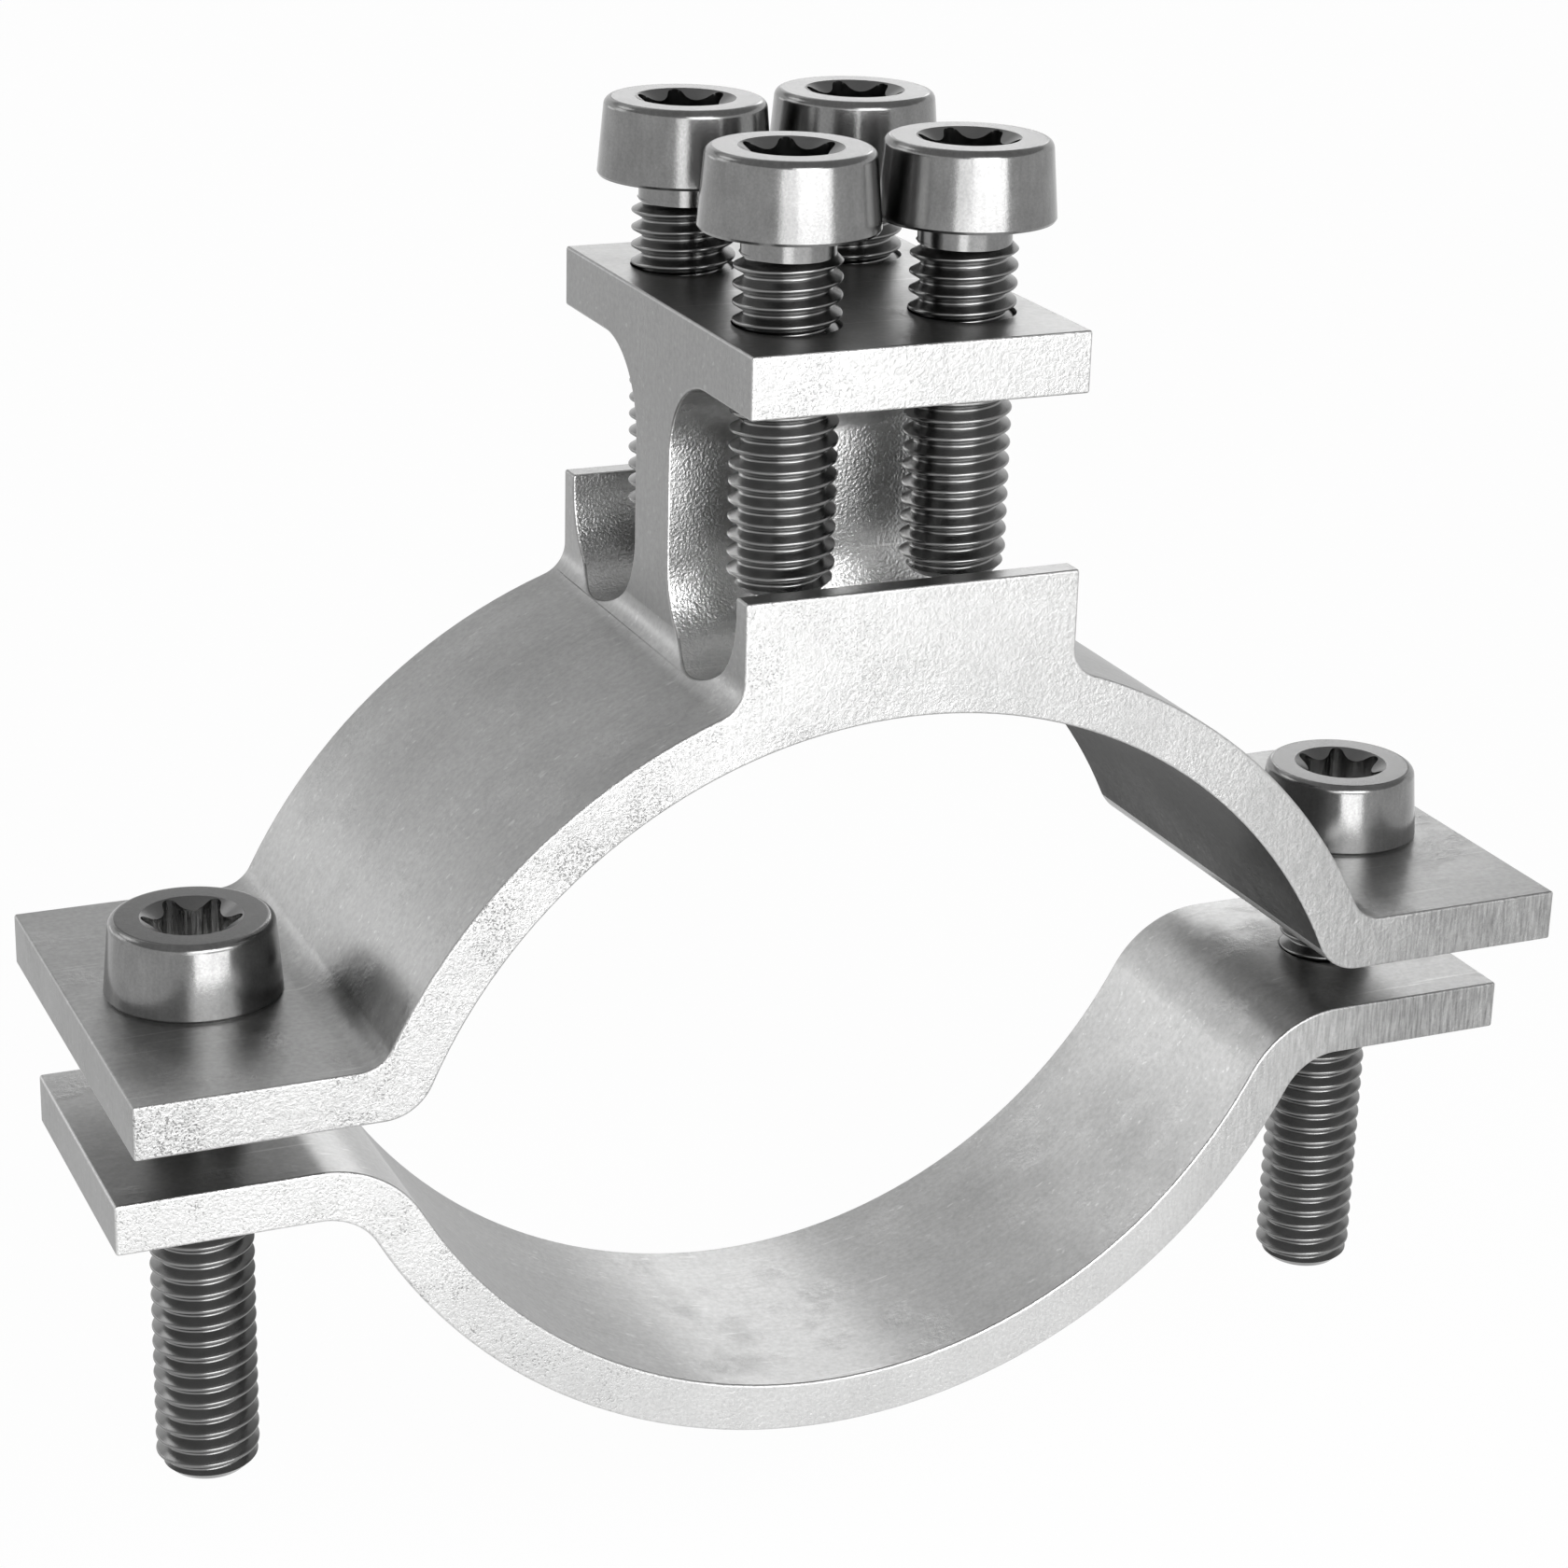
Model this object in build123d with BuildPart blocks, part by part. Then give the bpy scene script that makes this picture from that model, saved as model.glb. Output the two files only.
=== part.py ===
# Earthing pipe clamp, in millimetres. A one-piece saddle carries the conductor block, a bent
# strap closes under the pipe, two clamp screws pull the strap up and four conductor screws
# press a conductor down into the two channels of the block.
# The pipe lies along Y, the ears along X, and Z is up. The origin is on the pipe's centre
# line, midway between the ears of the saddle and of the strap.
import os
from math import atan2, cos, degrees, radians, sin, sqrt, tan

from build123d import *

# Pipe seat
seat_radius = 30.4
ear_gap = 5.0

# Saddle: a wall bent over the pipe, with an ear on each side
saddle_rise = 22.0
saddle_wall = 3.1
saddle_under_bend = 3.0
saddle_top_bend = 2.1
ear_beyond_screw = 7.0
bend_to_head = 0.25

# Conductor block: a web, a channel with a lip on each side of it and a plate on top
block_length = 20.0
block_foot_fillet = 2.0
web_thickness = 5.0
channel_radius = 5.0
channel_floor_wall = 1.5
lip_wall = 1.5
lip_height = 6.0
mouth_height = 10.0
plate_corner_fillet = 5.0
plate_thickness = 3.5

# Strap: a narrower wall bent under the pipe
strap_drop = 21.7
strap_width = 18.0
strap_wall = 3.0
strap_bend = 3.8

# Screws: all six have the same thread, head and socket
thread_diameter = 6.0
clamp_screw_length = 30.0
conductor_screw_length = 20.0
conductor_screw_lift = 5.2
neck_depth = 0.4
neck_length = 1.2
tip_chamfer = 0.7
head_diameter = 10.0
head_height = 4.4
head_taper = 5.0
head_edge_chamfer = 0.3
head_gap = 0.5
tapped_clearance = 0.05
ear_hole_clearance = 0.3

# Six-lobe socket
socket_diameter = 5.6
socket_lobe_depth = 0.82
socket_lobe_radius = 0.45
socket_depth = 2.6
lobe_count = 6

# How far each socket stands turned, in degrees
clamp_turn_left = 45.0
clamp_turn_right = 4.0
front_turn_left = 13.0
front_turn_right = 28.0
rear_turn_left = 22.0
rear_turn_right = 27.0

# Heights and radii that follow
ear_face = ear_gap / 2
saddle_ear_top = ear_face + saddle_wall
saddle_radius = seat_radius + saddle_wall
saddle_centre = saddle_rise - seat_radius
strap_ear_base = ear_face + strap_wall
strap_radius = seat_radius + strap_wall
strap_centre = seat_radius - strap_drop
channel_floor = saddle_rise + channel_floor_wall
channel_axis = channel_floor + channel_radius
lip_top = channel_floor + lip_height
plate_underside = lip_top + mouth_height
block_top = plate_underside + plate_thickness
thread_radius = thread_diameter / 2
neck_radius = thread_radius - neck_depth
head_radius = head_diameter / 2
tapped_radius = thread_radius + tapped_clearance


def arc_reach(radius, centre, height):
    """How far out an arc about (0, centre) is at a height."""
    return sqrt(radius**2 - (height - centre) ** 2)


# Places along X: the arcs end in the ears, and the heads stand just outside the bends
block_half = block_length / 2
foot_height = saddle_centre + arc_reach(saddle_radius, 0, block_half)
saddle_inner_end = arc_reach(seat_radius, saddle_centre, ear_face)
saddle_outer_end = arc_reach(saddle_radius, saddle_centre, saddle_ear_top)
bend_end = arc_reach(
    saddle_radius + saddle_top_bend, saddle_centre, saddle_ear_top + saddle_top_bend
)
clamp_screw_x = bend_end + bend_to_head + head_radius
ear_end = clamp_screw_x + ear_beyond_screw
conductor_screw_x = (head_diameter + head_gap) / 2

# Places along Y
web_face = web_thickness / 2
lip_face = web_face + 2 * channel_radius
saddle_side = lip_face + lip_wall
conductor_screw_y = web_face + channel_radius


def round_corner(sketch, corner, radius):
    """Round the corner of a sketch that lies at a point."""
    fillet(sketch.vertices().sort_by_distance(corner)[0], radius)


# Saddle: its front outline, right half first, from the ear up over the block
with BuildPart() as saddle:
    with BuildSketch(Plane.XZ) as saddle_front:
        with BuildLine():
            RadiusArc((0, saddle_rise), (saddle_inner_end, ear_face), seat_radius)
            Polyline(
                (saddle_inner_end, ear_face),
                (ear_end, ear_face),
                (ear_end, saddle_ear_top),
                (saddle_outer_end, saddle_ear_top),
            )
            RadiusArc(
                (saddle_outer_end, saddle_ear_top), (block_half, foot_height), -saddle_radius
            )
            Polyline(
                (block_half, foot_height),
                (block_half, block_top),
                (0, block_top),
                (0, saddle_rise),
            )
        make_face()
        round_corner(saddle_front, (saddle_inner_end, ear_face), saddle_under_bend)
        round_corner(saddle_front, (saddle_outer_end, saddle_ear_top), saddle_top_bend)
        round_corner(saddle_front, (block_half, foot_height), block_foot_fillet)
        mirror(about=Plane.YZ)
    extrude(amount=saddle_side, both=True)

    # The two channels, cut right along the block, run out sideways over the lips
    with BuildSketch(Plane.YZ) as channels:
        with BuildLine():
            Line((web_face, plate_underside), (web_face, channel_axis))
            ThreePointArc(
                (web_face, channel_axis),
                (conductor_screw_y, channel_floor),
                (lip_face, channel_axis),
            )
            Polyline(
                (lip_face, channel_axis),
                (lip_face, lip_top),
                (2 * saddle_side, lip_top),
                (2 * saddle_side, plate_underside),
                (web_face, plate_underside),
            )
        make_face()
        round_corner(channels, (web_face, plate_underside), plate_corner_fillet)
        mirror(about=Plane.YZ)
    extrude(amount=ear_end, both=True, mode=Mode.SUBTRACT)

    # Tapped holes in the plate and plain holes in the ears
    with Locations((0, 0, block_top)):
        with GridLocations(2 * conductor_screw_x, 2 * conductor_screw_y, 2, 2):
            Hole(tapped_radius, plate_thickness + plate_corner_fillet)
    with Locations((0, 0, saddle_ear_top)):
        with GridLocations(2 * clamp_screw_x, 0, 2, 1):
            Hole(thread_radius + ear_hole_clearance, saddle_wall)

# Strap: its front outline, right half first, with both bends about one centre
strap_inner_end = arc_reach(seat_radius, strap_centre, -ear_face)
strap_outer_end = arc_reach(strap_radius, strap_centre, -strap_ear_base)

with BuildPart() as strap:
    with BuildSketch(Plane.XZ) as strap_front:
        with BuildLine():
            RadiusArc((0, -strap_drop), (strap_inner_end, -ear_face), -seat_radius)
            Polyline(
                (strap_inner_end, -ear_face),
                (ear_end, -ear_face),
                (ear_end, -strap_ear_base),
                (strap_outer_end, -strap_ear_base),
            )
            RadiusArc(
                (strap_outer_end, -strap_ear_base), (0, -strap_drop - strap_wall), strap_radius
            )
            Line((0, -strap_drop - strap_wall), (0, -strap_drop))
        make_face()
        round_corner(strap_front, (strap_inner_end, -ear_face), strap_bend + strap_wall)
        round_corner(strap_front, (strap_outer_end, -strap_ear_base), strap_bend)
        mirror(about=Plane.YZ)
    extrude(amount=strap_width / 2, both=True)
    with Locations((0, 0, -ear_face)):
        with GridLocations(2 * clamp_screw_x, 0, 2, 1):
            Hole(tapped_radius, strap_wall)


def on_circle(radius, angle):
    """The point of a circle about the origin at an angle in degrees from the X axis."""
    return radius * cos(radians(angle)), radius * sin(radians(angle))


def six_lobe_face(turn):
    """The socket's outline as a face: lobes and the tongues between them, tangent all round.

    A lobe's arc and a tongue's arc touch where the distance between their centres is the sum
    of their radii, which gives the tongue's radius.
    """
    step = 360 / lobe_count
    lobe_centre = socket_diameter / 2 - socket_lobe_radius
    inner_radius = socket_diameter / 2 - socket_lobe_depth
    along = lobe_centre * cos(radians(step / 2))
    tongue_radius = (
        lobe_centre**2 + inner_radius**2 - 2 * inner_radius * along - socket_lobe_radius**2
    ) / (2 * (socket_lobe_radius + along - inner_radius))
    tongue_centre = inner_radius + tongue_radius
    # Half the angle of a lobe's arc, and then of a tongue's, each up to where they touch
    tongue_x, tongue_y = on_circle(tongue_centre, step / 2)
    half_lobe = degrees(atan2(tongue_y, tongue_x - lobe_centre))
    half_tongue = half_lobe - step / 2
    with BuildSketch() as socket:
        with BuildLine():
            for lobe in range(lobe_count):
                angle = turn + lobe * step
                CenterArc(
                    on_circle(lobe_centre, angle),
                    socket_lobe_radius,
                    angle - half_lobe,
                    2 * half_lobe,
                )
                CenterArc(
                    on_circle(tongue_centre, angle + step / 2),
                    tongue_radius,
                    angle + half_lobe + 180,
                    -2 * half_tongue,
                )
        make_face()
    return socket.sketch


def make_screw(x, y, seat, length, turn):
    """One screw on the axis (x, y), with the underside of its head at the height seat."""
    upright = Plane(origin=(x, y, seat), x_dir=(1, 0, 0), z_dir=(0, -1, 0))
    head_top_radius = head_radius - head_height * tan(radians(head_taper))
    with BuildPart() as screw:
        with BuildSketch(upright):
            with BuildLine():
                Polyline(
                    (0, -length),
                    (thread_radius, -length),
                    (thread_radius, -neck_length),
                    (neck_radius, -neck_length),
                    (neck_radius, 0),
                    (head_radius, 0),
                    (head_top_radius, head_height),
                    (0, head_height),
                    close=True,
                )
            make_face()
        revolve(axis=Axis((x, y, seat), (0, 0, 1)))
        chamfer(screw.edges().group_by(Axis.Z)[0], tip_chamfer)
        chamfer(screw.edges().group_by(Axis.Z)[-1], head_edge_chamfer)
        with BuildSketch(Plane.XY.offset(seat + head_height)):
            with Locations((x, y)):
                add(six_lobe_face(turn))
        extrude(amount=-socket_depth, mode=Mode.SUBTRACT)
    return screw


# Clamp screws seat on the ears, and conductor screws stand up out of the plate
screws = {}
for side, x, turn in (
    ("left", -clamp_screw_x, clamp_turn_left),
    ("right", clamp_screw_x, clamp_turn_right),
):
    screws[f"clamp_screw_{side}"] = make_screw(x, 0, saddle_ear_top, clamp_screw_length, turn)
for corner, x, y, turn in (
    ("front_left", -conductor_screw_x, -conductor_screw_y, front_turn_left),
    ("front_right", conductor_screw_x, -conductor_screw_y, front_turn_right),
    ("rear_left", -conductor_screw_x, conductor_screw_y, rear_turn_left),
    ("rear_right", conductor_screw_x, conductor_screw_y, rear_turn_right),
):
    screws[f"conductor_screw_{corner}"] = make_screw(
        x, y, block_top + conductor_screw_lift, conductor_screw_length, turn
    )

# Each piece is labelled and written to its own file
os.makedirs("parts", exist_ok=True)
for piece_name, piece in {"saddle": saddle, "strap": strap, **screws}.items():
    piece.part.label = piece_name
    export_step(piece.part, f"parts/{piece_name}.step")
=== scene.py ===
import math

import bpy
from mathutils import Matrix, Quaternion, Vector


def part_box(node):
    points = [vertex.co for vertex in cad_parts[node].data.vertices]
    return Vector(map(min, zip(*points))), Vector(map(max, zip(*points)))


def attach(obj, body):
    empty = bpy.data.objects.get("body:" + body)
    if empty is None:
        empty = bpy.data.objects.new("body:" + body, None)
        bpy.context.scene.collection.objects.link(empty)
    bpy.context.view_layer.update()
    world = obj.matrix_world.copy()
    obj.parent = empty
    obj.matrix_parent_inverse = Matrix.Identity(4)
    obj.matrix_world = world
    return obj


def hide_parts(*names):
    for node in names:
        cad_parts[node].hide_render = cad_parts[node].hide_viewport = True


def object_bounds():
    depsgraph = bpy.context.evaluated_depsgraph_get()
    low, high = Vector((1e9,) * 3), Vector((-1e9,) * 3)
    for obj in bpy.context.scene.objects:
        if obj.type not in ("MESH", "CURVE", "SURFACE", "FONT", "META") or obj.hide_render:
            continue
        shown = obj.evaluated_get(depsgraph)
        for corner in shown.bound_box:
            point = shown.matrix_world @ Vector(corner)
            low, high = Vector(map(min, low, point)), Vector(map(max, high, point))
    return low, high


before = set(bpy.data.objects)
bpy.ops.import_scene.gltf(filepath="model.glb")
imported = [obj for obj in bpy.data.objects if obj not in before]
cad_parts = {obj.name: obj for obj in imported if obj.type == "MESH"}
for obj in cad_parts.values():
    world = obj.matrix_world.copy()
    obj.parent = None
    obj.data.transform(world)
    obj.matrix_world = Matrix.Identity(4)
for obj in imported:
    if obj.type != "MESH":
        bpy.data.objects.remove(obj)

print("stage: frame loaded")
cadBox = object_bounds()
mm = 0.001  # every piece is drawn in millimetres and brought to metres when it is finished
squareOn = 0.99  # a face looks along an axis when its normal has this much of it


# Bench tools: how the pieces are drawn and cut

benchValues = {
    "mergeWithin": 0.002,  # points nearer than this become one
    "drillSteps": 72,
    "drillBeyond": 1,  # how far a drill or punch stands out of the metal
    "edgeSegments": 3,
    "sharpAngle": 30.0,  # an edge that turns by more than this gets its round
}


def nodeBox(node):
    # a CAD node's lowest and highest corners in millimetres
    low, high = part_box(node)
    return Vector(low) / mm, Vector(high) / mm


def nodeAxis(node):
    # where the axis of an upright round CAD node stands
    low, high = nodeBox(node)
    return (low.x + high.x) / 2, (low.y + high.y) / 2


def makeActive(piece):
    bpy.ops.object.select_all(action="DESELECT")
    piece.select_set(True)
    bpy.context.view_layer.objects.active = piece


def drawOutline(name, place, start, moves, axis, arcStep):
    # one vertex, extruded along straight runs and spun round arcs, left in edit mode
    # a move is (end, None) for a straight run and (end, centre) for an arc of under half a turn
    bpy.ops.object.select_all(action="DESELECT")
    here = place(*start)
    bpy.ops.mesh.primitive_plane_add(size=1.0, location=here)
    piece = bpy.context.object
    piece.name = piece.data.name = name
    bpy.ops.object.transform_apply(location=True, rotation=True, scale=True)
    bpy.ops.object.mode_set(mode="EDIT")
    bpy.ops.mesh.select_all(action="SELECT")
    bpy.ops.mesh.merge(type="CENTER")
    axis = Vector(axis)
    for end, centre in moves:
        end = place(*end)
        if centre is None:
            bpy.ops.mesh.extrude_vertices_move(TRANSFORM_OT_translate={"value": end - here})
        else:
            centre = place(*centre)
            fromArm, toArm = here - centre, end - centre
            swing = math.atan2(axis.dot(fromArm.cross(toArm)), fromArm.dot(toArm))
            steps = max(2, round(math.degrees(abs(swing)) / arcStep))
            bpy.ops.mesh.spin(steps=steps, angle=-swing, center=centre, axis=axis)
        here = end
    bpy.ops.mesh.select_all(action="SELECT")
    bpy.ops.mesh.remove_doubles(threshold=benchValues["mergeWithin"])
    return piece


def raiseOutline(depth):
    # a closed outline is filled and given its depth
    bpy.ops.mesh.edge_face_add()
    bpy.ops.mesh.extrude_region_move(TRANSFORM_OT_translate={"value": depth})
    bpy.ops.mesh.select_all(action="SELECT")
    bpy.ops.mesh.normals_make_consistent(inside=False)
    bpy.ops.object.mode_set(mode="OBJECT")


def turnOutline(steps):
    # an outline that starts and ends on the Z axis is turned into a solid
    bpy.ops.mesh.spin(steps=steps, angle=2 * math.pi, center=(0, 0, 0), axis=(0, 0, 1))
    bpy.ops.mesh.select_all(action="SELECT")
    bpy.ops.mesh.remove_doubles(threshold=benchValues["mergeWithin"])
    bpy.ops.mesh.normals_make_consistent(inside=False)
    bpy.ops.object.mode_set(mode="OBJECT")


def openFaces(piece, test):
    # edit mode with only the faces selected that pass the test
    makeActive(piece)
    bpy.ops.object.mode_set(mode="EDIT")
    bpy.ops.mesh.select_mode(type="FACE")
    bpy.ops.mesh.select_all(action="DESELECT")
    bpy.ops.object.mode_set(mode="OBJECT")
    for face in piece.data.polygons:
        face.select = test(face)
    bpy.ops.object.mode_set(mode="EDIT")


def mirrorHalf(piece):
    # the wall on the middle plane goes, and the other half is a mirrored copy
    within = benchValues["mergeWithin"]
    openFaces(piece, lambda face: abs(face.center.x) < within and abs(face.normal.x) > squareOn)
    bpy.ops.mesh.delete(type="ONLY_FACE")
    bpy.ops.mesh.select_mode(type="VERT")
    bpy.ops.object.mode_set(mode="OBJECT")
    half = piece.modifiers.new("half", "MIRROR")
    half.use_clip = True
    half.merge_threshold = within
    bpy.ops.object.modifier_apply(modifier=half.name)


def cutWith(piece, cutter, operation="DIFFERENCE"):
    # an applied boolean, after which the cutter is thrown away
    makeActive(piece)
    cut = piece.modifiers.new("cut", "BOOLEAN")
    cut.operation = operation
    cut.solver = "EXACT"
    cut.object = cutter
    bpy.ops.object.modifier_apply(modifier=cut.name)
    bpy.data.objects.remove(cutter)


def addDrill(radius, x, y, low, high):
    bpy.ops.object.select_all(action="DESELECT")
    bpy.ops.mesh.primitive_cylinder_add(
        vertices=benchValues["drillSteps"],
        radius=radius,
        depth=high - low,
        location=(x, y, (low + high) / 2),
    )
    bpy.ops.object.transform_apply(location=True, rotation=True, scale=True)
    return bpy.context.object


def breakEdges(piece, width):
    # every sharp edge gets a small round
    makeActive(piece)
    edge = piece.modifiers.new("edge", "BEVEL")
    edge.width = width
    edge.segments = benchValues["edgeSegments"]
    edge.limit_method = "ANGLE"
    edge.angle_limit = math.radians(benchValues["sharpAngle"])
    edge.use_clamp_overlap = False
    edge.miter_outer = "MITER_ARC"
    bpy.ops.object.modifier_apply(modifier=edge.name)


def smoothFaces(piece, angle):
    # flat faces stay flat, and the rounds between them carry the shading
    makeActive(piece)
    bpy.ops.object.shade_smooth_by_angle(angle=math.radians(angle))
    weighted = piece.modifiers.new("weighted", "WEIGHTED_NORMAL")
    weighted.keep_sharp = True
    bpy.ops.object.modifier_apply(modifier=weighted.name)


def wearFaces(piece, finishes, choose):
    # gives the piece its finishes, and each face the one that choose names for it
    names = list(finishes)
    for name in names:
        piece.data.materials.append(finishes[name])
    for face in piece.data.polygons:
        face.material_index = names.index(choose(face))


def finishPiece(piece, node):
    # brought to metres, the piece stands for its CAD node and moves with that node's body
    makeActive(piece)
    piece.scale = (mm, mm, mm)
    bpy.ops.object.transform_apply(location=True, rotation=True, scale=True)
    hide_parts(node)
    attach(piece, node)
    print("piece:", piece.name, len(piece.data.polygons), "faces")


def reach(radius, rise):
    return math.sqrt(radius**2 - rise**2)


def touch(centre, other, distance):
    # where a circle about centre meets the circle about other that it touches
    way = (Vector(other) - Vector(centre)).normalized() * distance
    return (centre[0] + way.x, centre[1] + way.y)


# Finishes

metalTone = (1.0, 1.0, 0.995)  # a trace warmer than plain grey
noiseRange = (0.3, 0.7)  # where nearly all of a noise lies
wholeRange = (0, 1)


def startFinish(name, grey, roughness):
    # a bare metal with its own node tree, ready for pattern
    material = bpy.data.materials.new(name)
    material.use_nodes = True
    shader = material.node_tree.nodes["Principled BSDF"]
    shader.inputs["Base Color"].default_value = [grey * share for share in metalTone] + [1]
    shader.inputs["Metallic"].default_value = 1.0
    shader.inputs["Roughness"].default_value = roughness
    coords = material.node_tree.nodes.new("ShaderNodeTexCoord")
    return material, shader, coords


def addGrain(tree, coords, perMetre, detail, stretch=(1, 1, 1), turn=(0, 0, 0), harsh=0.55):
    # noise on the piece's own coordinates, drawn out along the axes that stretch makes small,
    # with so many finer layers of detail, each as strong as harsh says
    lay = tree.nodes.new("ShaderNodeMapping")
    lay.inputs["Scale"].default_value = stretch
    lay.inputs["Rotation"].default_value = [math.radians(angle) for angle in turn]
    grain = tree.nodes.new("ShaderNodeTexNoise")
    grain.inputs["Scale"].default_value = perMetre
    grain.inputs["Detail"].default_value = detail
    grain.inputs["Roughness"].default_value = harsh
    tree.links.new(coords.outputs["Object"], lay.inputs["Vector"])
    tree.links.new(lay.outputs["Vector"], grain.inputs["Vector"])
    return grain.outputs["Fac"]


def spread(tree, value, fromLow, fromHigh, toLow, toHigh):
    # a value taken from one range to another and held there
    node = tree.nodes.new("ShaderNodeMapRange")
    node.clamp = True
    for socket, number in zip(node.inputs[1:5], (fromLow, fromHigh, toLow, toHigh)):
        socket.default_value = number
    tree.links.new(value, node.inputs[0])
    return node.outputs[0]


def alongAxis(tree, coords, axis, fromLow, fromHigh, toLow, toHigh):
    # a value that changes along one axis of the piece
    parts = tree.nodes.new("ShaderNodeSeparateXYZ")
    tree.links.new(coords.outputs["Object"], parts.inputs[0])
    return spread(tree, parts.outputs[axis], fromLow, fromHigh, toLow, toHigh)


def combine(tree, operation, first, second):
    node = tree.nodes.new("ShaderNodeMath")
    node.operation = operation
    for socket, value in zip(node.inputs, (first, second)):
        if isinstance(value, (int, float)):
            socket.default_value = value
        else:
            tree.links.new(value, socket)
    return node.outputs[0]


def aboutOne(share):
    # the range that varies a value by a share up and down
    return 1 - share, 1 + share


def tint(tree, shader, grey):
    # a grey value becomes the metal's colour
    node = tree.nodes.new("ShaderNodeCombineColor")
    for socket, share in zip(node.inputs[0:3], metalTone):
        tree.links.new(combine(tree, "MULTIPLY", grey, share), socket)
    tree.links.new(node.outputs[0], shader.inputs["Base Color"])


def emboss(tree, shader, height, depth):
    node = tree.nodes.new("ShaderNodeBump")
    node.inputs["Strength"].default_value = 1.0
    node.inputs["Distance"].default_value = depth
    tree.links.new(height, node.inputs["Height"])
    tree.links.new(node.outputs["Normal"], shader.inputs["Normal"])


skinFinish = {
    "saddleGrey": 0.325,
    # painted shade: the saddle's ear ends and block ends are its skin painted darker
    "saddleEndPaintedShadeGrey": 0.235,
    "blockEndPaintedShadeGrey": 0.27,
    "strapGrey": 0.46,
    # painted shade: the strap's ends are its skin painted darker
    "strapEndPaintedShadeGrey": 0.25,
    # painted light: the channel is the skin painted much lighter
    "channelPaintedLightGrey": 0.74,
    # painted shade: the bore is the skin painted dark, and it shines less at low angles
    "borePaintedShadeGrey": 0.22,
    "borePaintedShadeEdge": 0.3,
    "seatGrey": 0.49,
    "seatEdge": 0.7,
    "roughness": 0.32,
    "channelRoughness": 0.29,
    "duller": 0.05,
    "glossier": 0.03,
    "cloudsPerMetre": 130,
    "cloudShade": 0.1,
    "linesPerMetre": 3400,
    "lineStretch": (0.06, 1, 0.06),
    "lineRange": (0.25, 0.75),
    "lineShade": 0.05,
    "lineRelief": 0.08,
    "frettingPerMetre": 2900,
    "frettingRange": (0.35, 0.65),
    "frettingShade": 0.09,
    "patchesPerMetre": 240,
    "patchRange": (0.5, 0.68),
    "betweenPatches": 0.08,
    "scratchesPerMetre": (2400, 2100),
    "scratchTurns": ((0, 35, 28), (20, -40, -50)),
    "scratchStretch": (0.03, 1, 1),
    "scratchRange": (0.67, 0.75),
    "scratchShade": 0.3,
    "hammeringPerMetre": 5600,
    "hammeringTop": 0.0365,
    "hammeringFade": 0.001,
    "hammeringWander": 0.01,
    "hammeringShare": 1.2,
    "strapWrinkles": 1.1,
    "reliefDepth": 0.00004,
}

cutFinish = {
    # a cut face's dull share is painted shade that darkens it towards +X, across the X range
    # given below
    "saddle": {"grey": 0.525, "crumple": 0.8, "dull": 0.3, "speckedTo": (-0.020, 0.008)},
    "strap": {"grey": 0.66, "crumple": 0.6, "dull": 0.45, "speckedTo": (-0.022, -0.006)},
    "paintedShadeFrom": (0.020, 0.036),
    "roughness": 0.42,
    "cloudsPerMetre": 150,
    "cloudShade": 0.05,
    "crumplePerMetre": 4100,
    "crumpleShade": 0.05,
    "roughPlacesPerMetre": 95,
    "roughPlaceRange": (0.42, 0.58),
    "betweenRoughPlaces": 0.6,
    "streaksPerMetre": 5800,
    "streakStretch": (1, 1, 0.1),
    "streakShade": 0.9,
    "streakLeft": 0.15,
    "streakRelief": 0.1,
    "specksPerMetre": 8200,
    "speckStretch": (0.8, 1, 1),
    "speckTurn": (0, 25, 0),
    "speckRange": (0.54, 0.64),
    "speckDepth": 0.52,
    "speckRelief": 0.4,
    "specksRight": 0.15,
    "clustersPerMetre": 340,
    "clusterRange": (0.46, 0.64),
    "betweenClusters": 0.3,
    "strayRange": (0.67, 0.71),
    "strayDepth": 0.5,
    "reliefDepth": 0.00009,
}

steelFinish = {
    "sideGrey": 0.21,
    # painted shade: the top of each head is its steel painted darker than the sides
    "topGrey": 0.11,
    "threadGrey": 0.215,
    # painted light: the socket is the screw's steel painted lighter than the head's sides
    "socketGrey": 0.44,
    "mouthGrey": 0.17,
    "sideRoughness": 0.19,
    "topRoughness": 0.25,
    "threadRoughness": 0.24,
    "socketRoughness": 0.12,
    "mouthRoughness": 0.3,
    "cloudsPerMetre": 500,
    "cloudShade": 0.1,
    "cloudGloss": 0.015,
    "streaksPerMetre": 3200,
    "streakStretch": (1, 1, 0.15),
    "streakShade": 0.06,
    "streakRelief": 0.5,
    "flecksPerMetre": 6400,
    "fleckShade": 0.09,
    "reliefDepth": 0.0000035,
}


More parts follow.
